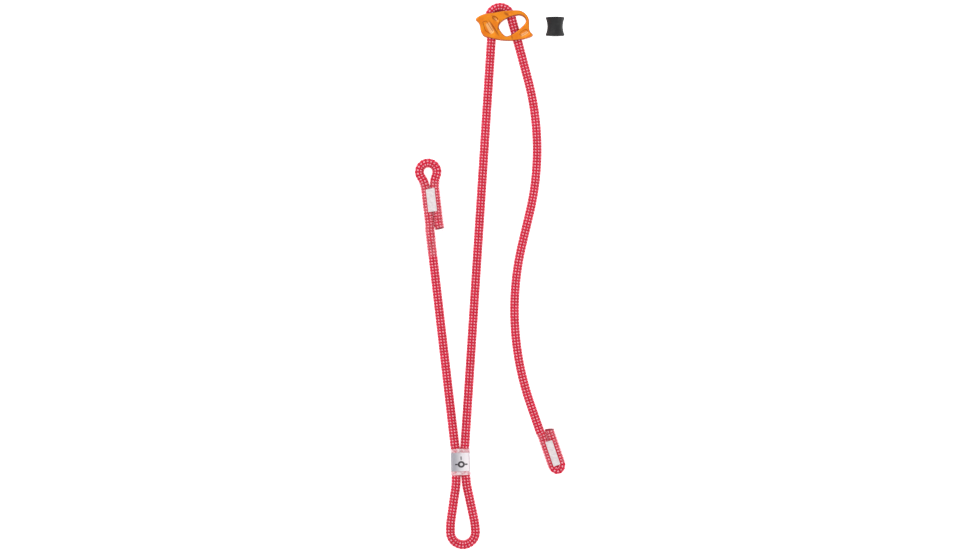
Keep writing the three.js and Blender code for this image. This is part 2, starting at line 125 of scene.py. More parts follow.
def connections(points, triangles):
    """Each vertex's neighbours, and those along the sharp edges, which are the rims of a core's ends."""
    corners = points[triangles]
    normals = np.cross(corners[:, 1] - corners[:, 0], corners[:, 2] - corners[:, 0])
    normals /= np.linalg.norm(normals, axis=1)[:, None]
    edges = {}
    for f, triangle in enumerate(triangles):
        for a, b in zip(triangle, np.roll(triangle, -1)):
            edges.setdefault((min(a, b), max(a, b)), []).append(f)
    neighbours, rims = {}, {}
    for (a, b), faces in edges.items():
        sharp = normals[faces[0]] @ normals[faces[-1]] < 0.5
        for links in (neighbours, rims) if sharp else (neighbours,):
            links.setdefault(a, set()).add(b)
            links.setdefault(b, set()).add(a)
    return neighbours, rims


def end_rim(rims):
    """All the vertices of one of the two rims."""
    rim, wave = {min(rims)}, [min(rims)]
    while wave:
        wave = [n for v in wave for n in rims[v] if n not in rim]
        rim.update(wave)
    return rim


def ring_centres(node):
    """The centres and normals of a swept core's rings, in order from one end to the other."""
    points, triangles = welded(node)
    neighbours, rims = connections(points, triangles)
    ring = end_rim(rims)
    centres, directions, seen = [], [], set()
    while ring:
        seen |= ring
        members = points[sorted(ring)]
        centre = members.mean(axis=0)
        centres.append(centre)
        directions.append(np.linalg.svd(members - centre)[2][-1])
        ring = {n for v in ring for n in neighbours[v]} - seen
    return np.array(centres), np.array(directions)


class Rope:
    """The rope's middle line as a smooth curve by distance along it, from the cut end beside the eye."""

    def __init__(self):
        rings = [ring_centres(name + "_core") for name in ROPE_LENGTHS]
        points, tangents, owners = [], [], []
        previous = rings[1][0].mean(axis=0)
        for name, (centres, normals) in zip(ROPE_LENGTHS, rings):
            starts_near = np.linalg.norm(centres[0] - previous) < np.linalg.norm(centres[-1] - previous)
            if starts_near == (not points):
                centres, normals = centres[::-1], normals[::-1]
            steps = np.gradient(centres, axis=0)
            tangents.extend(normals * np.sign(np.sum(normals * steps, axis=1))[:, None])
            points.extend(centres)
            owners.extend([name] * len(centres))
            previous = centres[-1]
        self.join(points, tangents, owners)

    def join(self, points, tangents, owners):
        """Joins the rings with smooth curves and notes where along the rope each CAD length lies."""
        line, distance, self.spans = [points[0]], [0.0], {}
        for i, owner in enumerate(owners):
            if i > 0:
                for point in self.curve(points[i - 1], points[i], tangents[i - 1], tangents[i]):
                    distance.append(distance[-1] + float(np.linalg.norm(point - line[-1])))
                    line.append(point)
            self.spans.setdefault(owner, [distance[-1], distance[-1]])[1] = distance[-1]
        self.line, self.distance, self.length = np.array(line), np.array(distance), distance[-1]

    def draw_in(self, place, low, high, amount):
        """Pulls two strands together between low and high along the y axis of a placing matrix.

        Where the rope folds back between the two strands, the fold narrows in proportion.
        """
        ease, reach, fold_reach = 6 * MM, 9 * MM, 4.5 * MM
        inverse = np.linalg.inv(np.array(place))
        local = self.line @ inverse[:3, :3].T + inverse[:3, 3]
        share = smoothstep(local[:, 1], low - ease, low) * (1 - smoothstep(local[:, 1], high, high + ease))
        share *= np.abs(local[:, 0]) < reach
        side = np.clip(local[:, 0] / fold_reach, -1, 1)
        across = np.array(place)[:3, 0]
        self.line = self.line - (side * share * amount)[:, None] * across

    @staticmethod
    def curve(a, b, tangent_a, tangent_b):
        """Points from a to b, without a, on an arc that leaves and arrives along the two tangents."""
        chord = np.linalg.norm(b - a)
        bend = math.acos(np.clip(tangent_a @ tangent_b, -1, 1))
        pull = chord / math.cos(bend / 4) ** 2
        steps = max(2, int(chord / LINE_STEP))
        t = np.linspace(0, 1, steps + 1)[1:, None]
        return ((2 * t**3 - 3 * t**2 + 1) * a + (t**3 - 2 * t**2 + t) * pull * tangent_a
                + (3 * t**2 - 2 * t**3) * b + (t**3 - t**2) * pull * tangent_b)

    def points(self, distances):
        return np.stack([np.interp(distances, self.distance, self.line[:, k]) for k in range(3)], axis=-1)

    def frames(self, distances):
        """Points, forward, up and rightward directions at distances along the rope."""
        d = np.atleast_1d(np.asarray(distances, float))
        step = 0.25 * MM
        before = self.points(np.clip(d - step, 0, self.length))
        after = self.points(np.clip(d + step, 0, self.length))
        forward = after - before
        forward /= np.linalg.norm(forward, axis=1)[:, None]
        up = np.array([0.0, 0.0, 1.0]) - forward * forward[:, 2:3]
        up /= np.linalg.norm(up, axis=1)[:, None]
        return self.points(d), forward, up, np.cross(forward, up)

    def nearest(self, place, within=None):
        """The distance along the rope, or along one CAD length of it, that comes nearest to a place."""
        low, high = self.spans[within] if within else (0.0, self.length)
        keep = (self.distance >= low) & (self.distance <= high)
        gap = np.linalg.norm(self.line[keep] - np.array(place), axis=1)
        return float(self.distance[keep][gap.argmin()])

    def straight_start(self, distance):
        """Where the straight stretch that holds a distance begins."""
        straight = math.cos(math.radians(0.5))
        _, forward, _, _ = self.frames(self.distance)
        _, here, _, _ = self.frames(distance)
        bent = (forward @ here[0] < straight) & (self.distance < distance)
        return float(self.distance[bent].max())


rope = Rope()


# ---- meshes

def add_object(name, data):
    obj = bpy.data.objects.new(name, data)
    bpy.context.scene.collection.objects.link(obj)
    return obj


def add_mesh(name, points, faces, uv=None):
    """A smooth-shaded mesh object. uv is the name of a UV map and a u, v pair for each face corner."""
    mesh = bpy.data.meshes.new(name)
    faces = faces.tolist() if isinstance(faces, np.ndarray) else faces
    mesh.from_pydata(np.asarray(points, float).tolist(), [], faces)
    if uv:
        layer = mesh.uv_layers.new(name=uv[0])
        layer.data.foreach_set("uv", np.asarray(uv[1], np.float32).ravel())
    mesh.shade_smooth()
    return add_object(name, mesh)


def grid_faces(rows, columns, wrap_rows=False, wrap_columns=True):
    """The quads of a grid of points, row after row."""
    r = np.arange(rows if wrap_rows else rows - 1)[:, None]
    c = np.arange(columns if wrap_columns else columns - 1)[None, :]
    next_r, next_c = (r + 1) % rows, (c + 1) % columns
    quads = np.stack(np.broadcast_arrays(r * columns + c, r * columns + next_c,
                                         next_r * columns + next_c, next_r * columns + c), axis=-1)
    return quads.reshape(-1, 4)


def rings_of_points(centres, up, right, radius):
    """A ring of points around each centre, from its up to its right direction, at a table of radii."""
    angle = np.linspace(0, 2 * math.pi, radius.shape[1], endpoint=False)[None, :, None]
    spokes = np.cos(angle) * up[:, None] + np.sin(angle) * right[:, None]
    return (centres[:, None] + radius[:, :, None] * spokes).reshape(-1, 3)


def rod_faces(rows, sides):
    """The faces of a closed rod: the quads of its wall, then a flat face at each end."""
    count = rows * sides
    ends = [list(range(sides))[::-1], list(range(count - sides, count))]
    return grid_faces(rows, sides).tolist() + ends


def flatten_ends(obj):
    """Shades the end faces of rods flat. Only their walls are made of quads."""
    for polygon in obj.data.polygons:
        polygon.use_smooth = len(polygon.vertices) == 4
    return obj


def revolve(name, profile, sides, place, outline_closed):
    """A solid turned about the y axis of a placing matrix, from (distance from the axis, y) points."""
    angles = np.linspace(0, 2 * math.pi, sides, endpoint=False)
    radius, along = profile[:, :1], profile[:, 1:]
    points = np.stack(np.broadcast_arrays(radius * np.sin(angles), along, radius * np.cos(angles)), axis=-1)
    rows = len(profile)
    faces = grid_faces(rows, sides, wrap_rows=True) if outline_closed else rod_faces(rows, sides)
    return add_mesh(name, transformed(place, points.reshape(-1, 3)), faces)


def rows_of(collection, attribute, width, kind=float):
    """An attribute of each item in a part of a mesh, as an array with a row for each."""
    values = np.empty(len(collection) * width, kind)
    collection.foreach_get(attribute, values)
    return values.reshape(-1, width)


def store(mesh, name, kind, domain, values):
    """Adds a named attribute to a mesh, with a value for each vertex or edge."""
    mesh.attributes.new(name, kind, domain).data.foreach_set("value", values)


def transformed(matrix, points):
    m = np.array(matrix)
    return points @ m[:3, :3].T + m[:3, 3]


def tidy(obj):
    """Joins doubled points and turns every face of a closed mesh outwards."""
    bm = bmesh.new()
    bm.from_mesh(obj.data)
    bmesh.ops.remove_doubles(bm, verts=bm.verts, dist=1e-7)
    bmesh.ops.recalc_face_normals(bm, faces=bm.faces)
    bm.to_mesh(obj.data)
    bm.free()


def with_material(obj, material):
    obj.data.materials.append(material)
    return obj


def set_in_place(obj, material, node, body):
    """Ends a piece that stands for one CAD node and moves with one body."""
    with_material(obj, material)
    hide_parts(node)
    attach(obj, body)
    return obj


# ---- the three sewn pairs of strands

def forward_at(distance):
    return Vector(rope.frames(distance)[1][0])


class Pair:
    """Two strands sewn side by side. Its own axes are x across the strands, y along them and z up."""

    def __init__(self, name, distance, body):
        self.name, self.body = name, body
        along = forward_at(distance)
        along.z = 0
        along = along.normalized() * (1 if along.y > 0 else -1)
        across = along.cross(Vector((0, 0, 1)))
        turn = Matrix((across, along, Vector((0, 0, 1)))).transposed().to_4x4()
        self.place = Matrix.Translation(box_middle(name + "_sleeve")) @ turn

    def reach(self, part):
        """The lowest and highest corner of one of the pair's CAD nodes, in the pair's own axes."""
        inverse = self.place.inverted()
        points = [inverse @ v.co for v in frame["nodes"][f"{self.name}_{part}"].data.vertices]
        return np.min(points, axis=0), np.max(points, axis=0)

    def add(self, part, suffix, points, faces, look, slot, mapped=False):
        """Adds a piece drawn in the pair's axes, in place of one of its CAD nodes."""
        uv = label_map(points, faces, *self.reach(part)) if mapped else None
        obj = add_mesh(f"{self.name}_{suffix}", transformed(self.place, points), faces, uv)
        return set_in_place(obj, look, f"{self.name}_{part}", self.body)


INSIDE_CUT_END = 2 * MM
BLOCK = Pair("block", rope.nearest(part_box("block_sleeve")[0], "block_right_strand"), "sewn_block")
EYE = Pair("eye", INSIDE_CUT_END, "eye")
STOPPER = Pair("stopper", rope.length - INSIDE_CUT_END, "tail_lower")

block_half_width, _, block_half_height = BLOCK.reach("sleeve")[1]
HALF_SPACING = block_half_width - block_half_height  # from a pair's middle to a strand's axis

STOPPER_FOLD = 20 * MM  # from the stopper's stitching past its fold
DRAWN_IN = ((BLOCK, 0.6 * MM, 0.0), (EYE, 0.6 * MM, 0.0), (STOPPER, 0.95 * MM, STOPPER_FOLD))

for sewn_pair, amount, fold in DRAWN_IN:
    web_low, web_high = sewn_pair.reach("stitching")
    rope.draw_in(sewn_pair.place, web_low[1] - fold, web_high[1], amount)


# ---- node materials

def srgb(red, green, blue):
    """A colour written as 0 to 255 display values, as the linear RGBA that nodes take."""
    linear = [((v / 255 + 0.055) / 1.055) ** 2.4 if v > 10 else v / 3294 for v in (red, green, blue)]
    return (*linear, 1)


class Shader:
    """A node material built by short calls. An input may be a number, a colour or another node's output."""

    def __init__(self, name):
        self.material = bpy.data.materials.new(name)
        self.material.use_nodes = True
        self.nodes = self.material.node_tree.nodes
        self.links = self.material.node_tree.links
        self.nodes.clear()

    def node(self, kind, inputs, **settings):
        node = self.nodes.new("ShaderNode" + kind)
        for name, value in settings.items():
            setattr(node, name, value)
        for key, value in inputs.items():
            if isinstance(value, bpy.types.NodeSocket):
                self.links.new(value, node.inputs[key])
            else:
                node.inputs[key].default_value = value
        return node.outputs

    def math(self, operation, a, b=0.0, c=0.0):
        return self.node("Math", {0: a, 1: b, 2: c}, operation=operation)[0]

    def times(self, a, b):
        return self.math("MULTIPLY", a, b)

    def gap(self, a, b):
        """How far apart two numbers are."""
        return self.math("ABSOLUTE", self.math("SUBTRACT", a, b))

    def mix(self, factor, a, b):
        """Colour a at factor 0, b at 1."""
        return self.node("Mix", {0: factor, 6: a, 7: b}, data_type="RGBA")[2]

    def blend(self, factor, a, b):
        """Number a at factor 0, b at 1."""
        return self.node("Mix", {0: factor, 2: a, 3: b})[0]

    def fade(self, value, start, end, low=0.0, high=1.0):
        """A smooth rise from low to high as a value goes from start to end."""
        inputs = {"Value": value, "From Min": start, "From Max": end, "To Min": low, "To Max": high}
        return self.node("MapRange", inputs, interpolation_type="SMOOTHSTEP")[0]

    def uv(self, name):
        """The u and v of a UV map."""
        return self.node("SeparateXYZ", {0: self.node("UVMap", {}, uv_map=name)[0]})[:2]

    def position(self, scale=(1, 1, 1)):
        """The point in the model's frame, in millimetres, stretched by a scale."""
        where = self.node("TexCoord", {})["Object"]
        factor = tuple(k / MM for k in scale)
        return self.node("VectorMath", {0: where, 1: factor}, operation="MULTIPLY")[0]

    def noise(self, vector, scale, detail=2.0, roughness=0.5):
        inputs = {"Vector": vector, "Scale": scale, "Detail": detail, "Roughness": roughness}
        return self.node("TexNoise", inputs)[0]

    def finish(self, color, roughness, height, relief, **surface):
        """Ends the material. height is 0 to 1 and relief is its depth in millimetres."""
        bump = self.node("Bump", {"Height": height, "Distance": relief * MM, "Strength": 1.0})[0]
        inputs = {"Base Color": color, "Roughness": roughness, "Normal": bump}
        inputs.update({name.replace("_", " "): value for name, value in surface.items()})
        shader = self.node("BsdfPrincipled", inputs)[0]
        self.node("OutputMaterial", {"Surface": shader})
        return self.material


# ---- the braided rope

REPEATS_PER_SLIDE = 7  # whole, so that braids stay in step at the limit
BRAID_PITCH = SLIDE_OUT / REPEATS_PER_SLIDE
YARNS_AROUND = 9
STEPS_PER_YARN = 8
SIDES = YARNS_AROUND * STEPS_PER_YARN
RING_STEP = BRAID_PITCH / STEPS_PER_YARN
RING_ROUNDING = 1e-6  # in rings
ROPE_RADIUS = 5.5 * MM
YARN_LIFT = 0.2 * MM
YARN_CROWN = 0.45 * MM
YARN_HALF_WIDTH = 0.505  # in yarn spacings
LINING_RADIUS = 3.85 * MM
LINING_STEP = 6  # braid columns to one column of the lining
LINING_SIDES = SIDES // LINING_STEP
CORE_RADIUS = 3.5 * MM
CORE_SIDES = 20
CORE_STEP = 2 * MM
CORE_INSET = 0.3 * MM  # from the sheath's cut face


def yarn_height(across, along, over):
    """Height of one family of yarns over the braid's gaps. over is 1 for yarns on top at even crossings."""
    height = np.full(np.shape(across), -1.0)
    for yarn in (np.floor(across), np.floor(across) + 1):
        offset = across - yarn
        lift = over * YARN_LIFT * np.cos(np.pi * (along + yarn))
        crown = YARN_CROWN * np.sqrt(np.clip(1 - (offset / YARN_HALF_WIDTH) ** 2, 0, None))
        inside = np.abs(offset) <= YARN_HALF_WIDTH
        height = np.maximum(height, np.where(inside, lift + crown, -1.0))
    return height


def braid_heights(around, along):
    """Heights of the right-climbing and left-climbing yarns, at places counted in yarns and repeats."""
    return (yarn_height(around - along, around + along, 1),
            yarn_height(around + along, around - along, -1))


def sheath(name, start, end, tuck):
    """A closed length of braided sheath between two distances, drawn in by a tuck where it telescopes."""
    first_ring = math.ceil(start / RING_STEP - RING_ROUNDING)
    last_ring = math.floor(end / RING_STEP + RING_ROUNDING)
    rings = np.arange(first_ring, last_ring + 1)
    around, along = np.meshgrid(np.arange(SIDES) / STEPS_PER_YARN, rings / STEPS_PER_YARN)
    radius = ROPE_RADIUS - YARN_LIFT - YARN_CROWN - tuck + np.maximum(*braid_heights(around, along))
    outer = swept(rings * RING_STEP, radius)
    lining_rings = np.append(np.arange(0, len(rings) - 1, STEPS_PER_YARN), len(rings) - 1)
    lining_radius = np.full((len(lining_rings), LINING_SIDES), LINING_RADIUS)
    lining = swept(rings[lining_rings] * RING_STEP, lining_radius)
    triangles, corners = braid_triangles(rings, around, along)
    inside = grid_faces(len(lining_rings), LINING_SIDES)[:, ::-1] + len(outer)
    inside = np.concatenate([inside[:, [0, 1, 2]], inside[:, [0, 2, 3]]])
    near_end = end_ring(0, len(outer), False)
    far_end = end_ring(len(outer) - SIDES, len(outer) + len(lining) - LINING_SIDES, True)
    faces = np.concatenate([triangles, inside, near_end, far_end])
    plain = np.zeros((len(faces) * 3 - len(corners), 2))
    uv = ("braid", np.concatenate([corners, plain]))
    obj = add_mesh(name, np.concatenate([outer, lining]), faces, uv)
    sharpen_ends(obj, len(outer))
    return obj


def swept(distances, radius):
    """Points around the rope, one row of them for each distance, at a table of radii."""
    centres, _, up, right = rope.frames(distances)
    return rings_of_points(centres, up, right, radius)


def braid_triangles(rings, around, along):
    """The outer wall's triangles, split along whichever yarn lies on top, and their corners' UVs."""
    step = 1 / STEPS_PER_YARN
    climbing, falling = braid_heights(around[:-1] + step / 2, along[:-1] + step / 2)
    quads = grid_faces(len(rings), SIDES)
    row, column = np.divmod(quads[:, 0], SIDES)
    first_corner = step * np.stack([column, rings[row]], axis=-1)
    uv = first_corner[:, None] + step * np.array([(0, 0), (1, 0), (1, 1), (0, 1)])
    splits = {True: ([0, 1, 2], [0, 2, 3]), False: ([0, 1, 3], [1, 2, 3])}
    triangles, corners = [], []
    for on_top, (first, second) in splits.items():
        chosen = (climbing > falling).ravel() == on_top
        for split in (first, second):
            triangles.append(quads[chosen][:, split])
            corners.append(uv[chosen][:, split].reshape(-1, 2))
    return np.concatenate(triangles), np.concatenate(corners)


def end_ring(outer, inner, at_end):
    """Triangles that close a sheath's end between its outer ring and its lining."""
    faces = []
    for i in range(LINING_SIDES):
        here, after = inner + i, inner + (i + 1) % LINING_SIDES
        for j in range(i * LINING_STEP, (i + 1) * LINING_STEP):
            faces.append((outer + (j + 1) % SIDES, outer + j, here))
        faces.append((outer + (i + 1) * LINING_STEP % SIDES, here, after))
    faces = np.array(faces)
    return faces[:, ::-1] if at_end else faces


def sharpen_ends(obj, outer_count):
    """Keeps the flat ends of a sheath from bending its side's shading."""
    mesh = obj.data
    ends = rows_of(mesh.edges, "vertices", 2, int)
    first = (ends < SIDES).all(axis=1)
    last = ((ends >= outer_count - SIDES) & (ends < outer_count)).all(axis=1)
    store(mesh, "sharp_edge", "BOOLEAN", "EDGE", first | last)


def core(name, start, end, radius):
    """A closed length of the rope's core."""
    distances = np.linspace(start, end, max(3, int((end - start) / CORE_STEP)))
    points = swept(distances, np.full((len(distances), CORE_SIDES), radius))
    return flatten_ends(add_mesh(name, points, rod_faces(len(distances), CORE_SIDES)))


def sheath_material():
    """Crimson yarns, with a pale fleck on each yarn of the family that climbs to the left, and painted shade
    in the crevices between the yarns.

    u and v count the yarns of the two families. k and m are the yarns that cross nearest to a point, and
    pale is 1 where the left-climbing one lies on top.
    """
    s = Shader("crimson_braid")
    around, along = s.uv("braid")
    u, v = s.math("SUBTRACT", around, along), s.math("ADD", around, along)
    k, m = s.math("ROUND", u), s.math("ROUND", v)
    u_offset, v_offset = s.math("SUBTRACT", u, k), s.math("SUBTRACT", v, m)
    pale = s.math("PINGPONG", s.math("ADD", k, m), 1.0)
    across = s.math("ABSOLUTE", s.blend(pale, u_offset, v_offset))
    length = s.math("ABSOLUTE", s.blend(pale, v_offset, u_offset))
    row = s.math("SUBTRACT", m, k)
    yarn = s.math("FLOORED_MODULO", s.math("ADD", s.blend(pale, k, m), 0.5), YARNS_AROUND)
    pick = s.node("CombineXYZ", {0: yarn, 1: row, 2: pale})[0]
    pick_shade = s.node("TexWhiteNoise", {"Vector": pick}, noise_dimensions="3D")[0]
    yarn_shade = s.node("TexWhiteNoise", {"W": yarn}, noise_dimensions="1D")[0]
    fibre_around, fibre_along = s.times(around, 9.0), s.times(along, 2.0)
    fibre_place = s.node("CombineXYZ", {0: fibre_around, 1: fibre_along})[0]
    fibres = s.noise(fibre_place, 1.6, detail=3.0, roughness=0.6)
    red = s.mix(pick_shade, srgb(198, 6, 38), srgb(226, 18, 58))
    red = s.mix(s.fade(fibres, 0.35, 0.75, 0.0, 0.3), red, srgb(244, 62, 92))
    reach = s.math("ADD", s.math("POWER", s.math("DIVIDE", length, 0.54), 2.0),
                   s.math("POWER", s.math("DIVIDE", across, 0.44), 2.0))
    reach = s.math("ADD", reach, s.fade(fibres, 0.3, 0.7, -0.2, 0.2))
    fleck = s.times(s.fade(reach, 1.05, 0.3), pale)
    fleck = s.times(fleck, s.fade(yarn_shade, 0.0, 1.0, 0.75, 1.0))
    fleck = s.times(fleck, s.fade(pick_shade, 0.0, 0.6, 0.75, 1.0))
    color = s.mix(fleck, red, srgb(253, 168, 184))
    # painted shade: the crevices between the yarns are coloured dark maroon
    gap = s.fade(s.math("MAXIMUM", across, length), 0.38, 0.5, 0.0, 0.75)
    color = s.mix(gap, color, srgb(118, 4, 40))
    return s.finish(color, s.blend(fleck, 0.7, 0.55), fibres, 0.12, Specular_IOR_Level=0.2)


def core_material():
    """Pale twisted yarns, seen only where the rope is cut."""
    s = Shader("pale_core")
    strands = s.noise(s.position(), 1.4, detail=3.0)
    color = s.mix(s.fade(strands, 0.3, 0.7), srgb(222, 214, 200), srgb(246, 242, 232))
    return s.finish(color, 0.85, strands, 0.15)


def block_middle(side):
    """Where along the rope the middle of the block comes, on its left or right strand."""
    return rope.nearest(box_middle("block_sleeve"), f"block_{side}_strand")


MIDDLE = {side: block_middle(side) for side in ("left", "right")}
TAIL_START = rope.straight_start(rope.spans["tail_feed"][0])
ARM_END = rope.spans["arm_feed"][0]
NECK_LENGTH = 70 * MM  # of the tail that goes with the rope in the grab
LINK_START, LINK_END = 13 * MM, 84 * MM  # of the tail's sliding length, after TAIL_START
TAIL_GAP = 0.7 * MM  # from the furthest slide to the tail's own rope
TUCK = 0.04 * MM  # by which a telescoping length is thinner
FEED_OVERLAP = 2 * MM


def pivot(joint):
    """The distance along the rope at which a joint bends it."""
    return rope.nearest(JOINTS[joint]["pos_m"])


def whole_repeat(distance):
    """The nearest distance along the rope at which the braid starts anew."""
    return round(distance / BRAID_PITCH) * BRAID_PITCH


def rope_pieces():
    """Name, start, end, tuck, what it rides on, and the CAD lengths it stands for."""
    arm_middle = whole_repeat((pivot("eye_fold") + pivot("fixed_arm_swing")) / 2)
    left, right = whole_repeat(MIDDLE["left"]), whole_repeat(MIDDLE["right"])
    grab_start, grab_end = ARM_END - SLIDE_OUT - FEED_OVERLAP, TAIL_START + NECK_LENGTH
    link_start, link_end = TAIL_START + LINK_START, TAIL_START + LINK_END
    tail_start = TAIL_START + SLIDE_OUT + TAIL_GAP
    arm_lengths = ("block_right_strand", "adjustable_arm")
    tail_lengths = ("tail_upper", "tail_lower", "stopper")
    return (
        ("eye_rope", 0.0, arm_middle, 0.0, "eye_fold", ("eye",)),
        ("fixed_arm_rope", arm_middle, left, 0.0, "fixed_arm_swing", ("fixed_arm", "block_left_strand")),
        ("loop_rope", left, right, 0.0, "loop_fold", ("loop",)),
        ("adjustable_arm_rope", right, ARM_END, TUCK, "adjustable_arm_swing", arm_lengths),
        ("grab_rope", grab_start, grab_end, 0.0, "rope_in_grab", ("arm_feed", "bight")),
        ("tail_feed_rope", link_start, link_end, TUCK, "tail_feed", ("tail_feed",)),
        ("tail_rope", tail_start, rope.length, 2 * TUCK, "tail_swing", tail_lengths),
    )


def build_rope():
    sheath_look, core_look = sheath_material(), core_material()
    for name, start, end, tuck, carrier, lengths in rope_pieces():
        outside = with_material(sheath(name, start, end, tuck), sheath_look)
        inside = core(name + "_core", start + CORE_INSET, end - CORE_INSET, CORE_RADIUS - tuck)
        with_material(inside, core_look)
        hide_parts(*[length + "_sheath" for length in lengths])
        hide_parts(*[length + "_core" for length in lengths])
        for piece in (outside, inside):
            carry(piece, carrier)


def carry(piece, carrier):
    """Rides a piece on the body of that name. A piece named for a joint is left where it stands, on no body,
    and is not bent.
    """
    if carrier not in JOINTS:
        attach(piece, carrier)
        return
    joint = JOINTS[carrier]
    place, parent, child = Vector(joint["pos_m"]), joint["parent"], joint["child"]
    if carrier == "loop_fold":
        ahead = -forward_at(MIDDLE["right"])
    else:
        ahead = forward_at(pivot(carrier))
    if carrier in ("eye_fold", "fixed_arm_swing"):
        parent, child = child, parent
    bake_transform(piece)


# ---- the melted ends

def melted_material():
    """Glossy dark nylon that ran and set, with a few scorched places."""
    s = Shader("melted_nylon")
    lumps = s.noise(s.position(), 0.9, detail=3.0)
    color = s.mix(s.fade(lumps, 0.35, 0.7), srgb(86, 8, 26), srgb(168, 30, 54))
    return s.finish(color, s.fade(lumps, 0.3, 0.7, 0.28, 0.5), lumps, 0.35)


# The outline of a melted end's bead: distance from the rope's axis and from the cut, in millimetres.
BEAD = ((0.0, -0.3), (4.1, -0.3), (5.05, 0.0), (5.3, 0.45), (5.2, 0.9), (4.7, 1.25), (3.7, 1.42),
        (2.4, 1.3), (1.2, 1.12), (0.0, 1.05))
BEAD_SIDES = 48
POLE_RADIUS = 0.02  # mm


def melted_end(name, node, distance, outward, body, look):
    """The lumpy bead that seals a cut end. outward is 1 at the rope's far end and -1 at its start."""
    centre, forward, up, right = (Vector(v[0]) for v in rope.frames(distance))
    axis = forward * outward
    place = Matrix.Translation(centre) @ Matrix((right, axis, up)).transposed().to_4x4()
    profile = rounded(BEAD, 3)
    profile[:, 0] = np.maximum(profile[:, 0], POLE_RADIUS)
    obj = revolve(name, profile * MM, BEAD_SIDES, Matrix.Identity(4), outline_closed=False)
    for vertex in obj.data.vertices:
        x, y, z = vertex.co
        turn = math.atan2(x, z)
        lump = 1 + 0.035 * math.sin(3 * turn + 0.7) + 0.02 * math.sin(7 * turn + 2)
        lump -= 0.015 * math.sin(11 * turn)
        lean = 0.12 * MM * math.sin(2 * turn + 1) * smoothstep(y, 0, MM)
        vertex.co = (x * lump, y + lean, z * lump)
    obj.data.transform(place)
    tidy(obj)
    set_in_place(obj, look, node, body)


def rounded(points, steps):
    """Catmull-Rom points through a run of points, ends included."""
    points = np.asarray(points, float)
    padded = np.concatenate([points[:1], points, points[-1:]])
    result = []
    for a, b, c, d in zip(padded, padded[1:], padded[2:], padded[3:]):
        for t in np.arange(steps) / steps:
            result.append(0.5 * (2 * b + (c - a) * t + (2 * a - 5 * b + 4 * c - d) * t**2
                                 + (3 * b - a - 3 * c + d) * t**3))
    result.append(points[-1])
    return np.array(result)


def build_melted_ends():
    look = melted_material()
    melted_end("eye_melted_end", "eye_end_cap", 0.0, -1, "eye", look)
    melted_end("stopper_melted_end", "stopper_end_cap", rope.length, 1, "tail_lower", look)


# ---- sleeves, labels and stitching on the three sewn pairs

def ripple(x, y, seed):
    """A slow, even unevenness between -1 and 1."""
    return (math.sin(2.1 * x + 1.3 * y + seed) + math.sin(1.1 * x - 2.3 * y + 2 * seed)
            + math.sin(0.6 * y + 3 * seed)) / 3


FILM_ARC_STEPS = 22
FILM_FLAT_STEPS = 16
GROOVE_REACH = 1.9  # mm, of the film's dip between the strands
LABEL_CLEARANCE = 0.02  # mm, between a label and the sleeve over it


def film_ring(low, high, radius, dip):
    """One turn of a film as x, z points: along its top from low to high, around, and back underneath."""
    ring = []
    for side, x0, x1 in ((1, low, high), (-1, high, low)):
        for i in range(FILM_FLAT_STEPS):
            x = x0 + (x1 - x0) * i / FILM_FLAT_STEPS
            middle = math.exp(-(x / GROOVE_REACH) ** 2) if high > 0 else 0.0
            ring.append((x, side * (radius - dip * middle)))
        for i in range(FILM_ARC_STEPS):
            angle = math.pi * i / FILM_ARC_STEPS
            ring.append((x1 + side * radius * math.sin(angle), side * radius * math.cos(angle)))
    return ring


def film(rows, left, right, radius, thickness, unevenness, dip, seed):
    """Points and faces of a shrunk film around a pair, with a turn at each y in rows, in millimetres.

    left and right give the ends of its flat part, and radius that of its sides, at each y.
    """
    walls = []
    for inward in (0.0, thickness):
        wall = []
        for y in rows:
            for x, z in film_ring(left(y), right(y), radius(y) - inward, dip):
                swell = 1 + unevenness * ripple(x, y, seed) / radius(y)
                wall.append((x * swell, y, z * swell))
        walls.append(np.array(wall).reshape(len(rows), -1, 3))
    outer, inner = walls
    rounding = 0.5 * (outer + inner)
    bulge = np.array([0, thickness / 2, 0])
    skin = np.concatenate([outer, rounding[-1:] + bulge, inner[::-1], rounding[:1] - bulge])
    faces = grid_faces(len(skin), skin.shape[1], wrap_rows=True)
    return skin.reshape(-1, 3) * MM, faces


def steps_between(low, high, step):
    return np.linspace(low, high, max(2, int(math.ceil((high - low) / step))) + 1)


def add_sleeve(pair, look, cut_end=None, looseness=0.0, seed=1.0):
    """A clear shrunk sleeve. Past a cut end it closes in around the strand that goes on."""
    low, high = pair.reach("sleeve") / np.array(MM)
    half = HALF_SPACING / MM + looseness

    def right(y):
        """The side with the cut end, which closes in just past it."""
        if cut_end is None:
            return half
        return -half + 2 * half * smoothstep(y, cut_end - 14, cut_end + 1)

    def radius(y):
        """A little narrower in the middle of its length than at its two ends."""
        near_end = min(y - low[1], high[1] - y)
        return high[2] - 0.22 * smoothstep(near_end, 0.0, 3.0)

    rows = steps_between(low[1], high[1], 0.6)
    points, faces = film(rows, lambda y: -half, right, radius,
                         thickness=0.3, unevenness=0.04, dip=0.12, seed=seed)
    pair.add("sleeve", "clear_sleeve", points, faces, look, "clear_sleeve", mapped=True)


def add_wrapped_label(pair, look):
    """A printed band that goes all the way around the pair, inside its sleeve."""
    low, high = pair.reach("label") / np.array(MM)
    half, outer = HALF_SPACING / MM, high[2] - LABEL_CLEARANCE
    rows = steps_between(low[1], high[1], 0.8)
    points, faces = film(rows, lambda y: -half, lambda y: half, lambda y: outer,
                         thickness=0.2, unevenness=0.02, dip=0.08, seed=2.0)
    pair.add("label", "printed_label", points, faces, look, "label", mapped=True)


def label_map(points, faces, low, high):
    """A UV map that runs from -1 to 1 across a label and along it. The underside lies outside it."""
    x = points[:, 0] / high[0]
    y = (2 * points[:, 1] - low[1] - high[1]) / (high[1] - low[1])
    uv = np.stack([x + 4 * (points[:, 2] < 0), y], axis=1)
    return "label", uv[faces].reshape(-1, 2)


